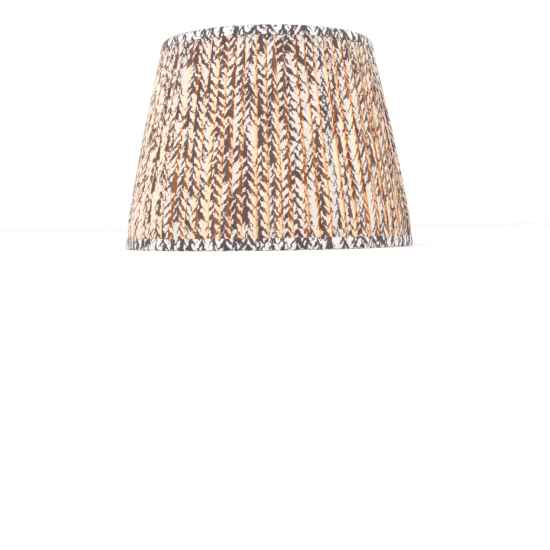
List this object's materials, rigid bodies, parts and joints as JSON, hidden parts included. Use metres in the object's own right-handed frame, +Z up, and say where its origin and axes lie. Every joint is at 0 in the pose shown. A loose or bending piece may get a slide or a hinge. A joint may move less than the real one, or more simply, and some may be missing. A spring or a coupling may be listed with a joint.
{
  "type": "lamp shade",
  "caption": "Knife-pleated empire lamp shade in printed cotton with folded trims, lined wire frame and a reversible gimbal ring with reducer.",
  "frame": {"origin": "centre of the bottom rim, on the plane that the shade stands on", "axes": "+Z up along the shade's axis, from the wide bottom rim to the narrow top rim; X along the gimbal's pivot axis"},
  "size_m": [0.3999, 0.4, 0.28],
  "materials": {
    "printed_cotton": "pleated printed cotton, off-white leaf sprays on mauve grey, lit from inside",
    "trim_cotton": "folded printed cotton, the cover's own cloth",
    "lining_cotton": "plain cream cotton",
    "binding_tape": "woven cotton tape",
    "frame_wire": "cream powder-coated steel wire",
    "gimbal_wire": "cream powder-coated steel wire and plate",
    "pivot_steel": "turned steel",
    "reducer_plastic": "moulded white plastic"
  },
  "bodies": {
    "shade": {"top_ring": "frame_wire", "bottom_ring": "frame_wire", "rib_1": "frame_wire", "rib_2": "frame_wire", "rib_3": "frame_wire", "rib_4": "frame_wire", "rib_5": "frame_wire", "rib_6": "frame_wire", "rib_7": "frame_wire", "rib_8": "frame_wire", "top_ring_tape": "binding_tape", "bottom_ring_tape": "binding_tape", "lining": "lining_cotton", "pleated_cover": "printed_cotton", "top_trim": "trim_cotton", "bottom_trim": "trim_cotton", "pivot_pin_left": "pivot_steel", "pivot_pin_right": "pivot_steel", "neatener_left": "lining_cotton", "neatener_right": "lining_cotton"},
    "gimbal": {"gimbal_ring": "gimbal_wire", "gimbal_eye_left": "gimbal_wire", "gimbal_eye_right": "gimbal_wire", "gimbal_wire_front_left": "gimbal_wire", "gimbal_wire_back_left": "gimbal_wire", "gimbal_wire_front_right": "gimbal_wire", "gimbal_wire_back_right": "gimbal_wire"},
    "reducer": {"reducer_ring": "reducer_plastic"}
  },
  "joints": [
    {"name": "gimbal_pivot", "type": "hinge", "parent": "shade", "child": "gimbal", "pos_m": [0, 0, 0.13], "axis": [1, 0, 0], "continuous": true},
    {"name": "reducer_lift", "type": "slide", "parent": "gimbal", "child": "reducer", "axis": [0, 0, 1], "range_m": [0, 0.03]}
  ]
}
